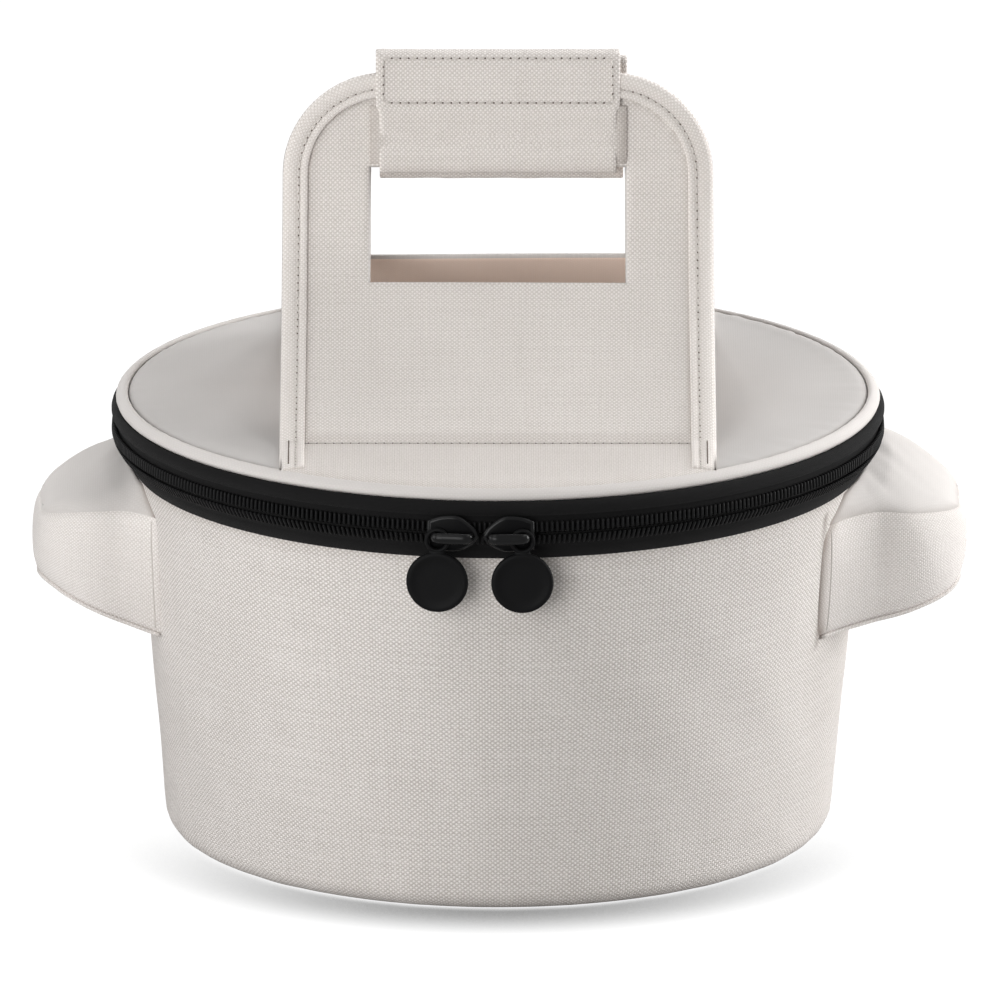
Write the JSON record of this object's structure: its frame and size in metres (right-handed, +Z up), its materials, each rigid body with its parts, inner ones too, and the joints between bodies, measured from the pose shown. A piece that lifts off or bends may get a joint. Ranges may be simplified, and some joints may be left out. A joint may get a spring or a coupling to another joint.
{
  "type": "casserole carrier",
  "caption": "Round insulated canvas carrier for a lidded casserole, with side ears for the pot's handles, a zipped lid and folding top handles.",
  "frame": {"origin": "centre of the base, on the floor", "axes": "+Z up, +X towards the right ear, -Y towards the front, where the zip sliders meet"},
  "size_m": [0.4, 0.3377, 0.343],
  "materials": {
    "canvas": "cream basket-weave canvas",
    "lid_canvas": "cream canvas, slightly greyer",
    "lining": "grey coated lining",
    "binding": "cream binding tape",
    "foam": "white closed-cell foam",
    "board": "black stiffening board",
    "zip_tape": "black twill zip tape",
    "zip_teeth": "black coil teeth",
    "slider": "glossy black lacquer",
    "pull": "matte black moulded pull",
    "fastener": "cream hook-and-loop tape"
  },
  "bodies": {
    "tub": {"body_wall": "canvas", "base_panel": "canvas", "base_board": "board", "base_foam": "foam", "base_lining": "lining", "wall_foam_front": "foam", "wall_foam_right": "foam", "wall_foam_rear": "foam", "wall_foam_left": "foam", "wall_lining": "lining", "rim_binding": "binding", "right_ear_top": "canvas", "right_ear_base": "canvas", "right_ear_band": "canvas", "left_ear_top": "canvas", "left_ear_base": "canvas", "left_ear_band": "canvas", "lower_zip_tape": "zip_tape", "lower_zip_teeth": "zip_teeth", "right_zip_stop": "slider", "left_zip_stop": "slider", "hinge_panel": "canvas"},
    "lid": {"lid_band": "canvas", "lid_top_panel": "lid_canvas", "lid_foam": "foam", "lid_lining": "lining", "lid_binding": "binding", "upper_zip_tape": "zip_tape", "upper_zip_teeth": "zip_teeth", "front_handle_foot": "canvas", "rear_handle_foot": "canvas"},
    "front_handle": {"front_handle_panel": "canvas", "front_handle_binding": "canvas", "front_bar_sleeve": "canvas", "front_grip_wrap": "canvas", "front_hook_tape": "fastener"},
    "rear_handle": {"rear_handle_panel": "canvas", "rear_handle_binding": "canvas", "rear_bar_sleeve": "canvas", "rear_grip_wrap": "canvas", "rear_loop_tape": "fastener"},
    "left_slider": {"left_slider_body": "slider", "left_slider_bridge": "slider"},
    "right_slider": {"right_slider_body": "slider", "right_slider_bridge": "slider"},
    "left_pull": {"left_pull": "pull"},
    "right_pull": {"right_pull": "pull"}
  },
  "joints": [
    {"name": "lid_open", "type": "hinge", "parent": "tub", "child": "lid", "pos_m": [0, 0.166, 0.1732], "axis": [-1, 0, 0], "range_deg": [0, 110], "deforming": ["hinge_panel"]},
    {"name": "front_handle_fold", "type": "hinge", "parent": "lid", "child": "front_handle", "pos_m": [0, -0.097, 0.1935], "axis": [1, 0, 0], "range_deg": [0, 110]},
    {"name": "rear_handle_fold", "type": "hinge", "parent": "lid", "child": "rear_handle", "pos_m": [0, 0.097, 0.1935], "axis": [-1, 0, 0], "range_deg": [0, 110]},
    {"name": "left_slider_travel", "type": "hinge", "parent": "tub", "child": "left_slider", "pos_m": [0, 0, 0.1732], "axis": [0, 0, -1], "range_deg": [0, 55]},
    {"name": "right_slider_travel", "type": "hinge", "parent": "tub", "child": "right_slider", "pos_m": [0, 0, 0.1732], "axis": [0, 0, 1], "range_deg": [0, 60]},
    {"name": "left_pull_swing", "type": "hinge", "parent": "left_slider", "child": "left_pull", "pos_m": [-0.02706, -0.1676, 0.1732], "axis": [0.1145, 0.9934, 0], "range_deg": [-10, 110]},
    {"name": "right_pull_swing", "type": "hinge", "parent": "right_slider", "child": "right_pull", "pos_m": [0.01219, -0.16934, 0.1732], "axis": [0.0265, -0.9996, 0], "range_deg": [-10, 110]}
  ]
}
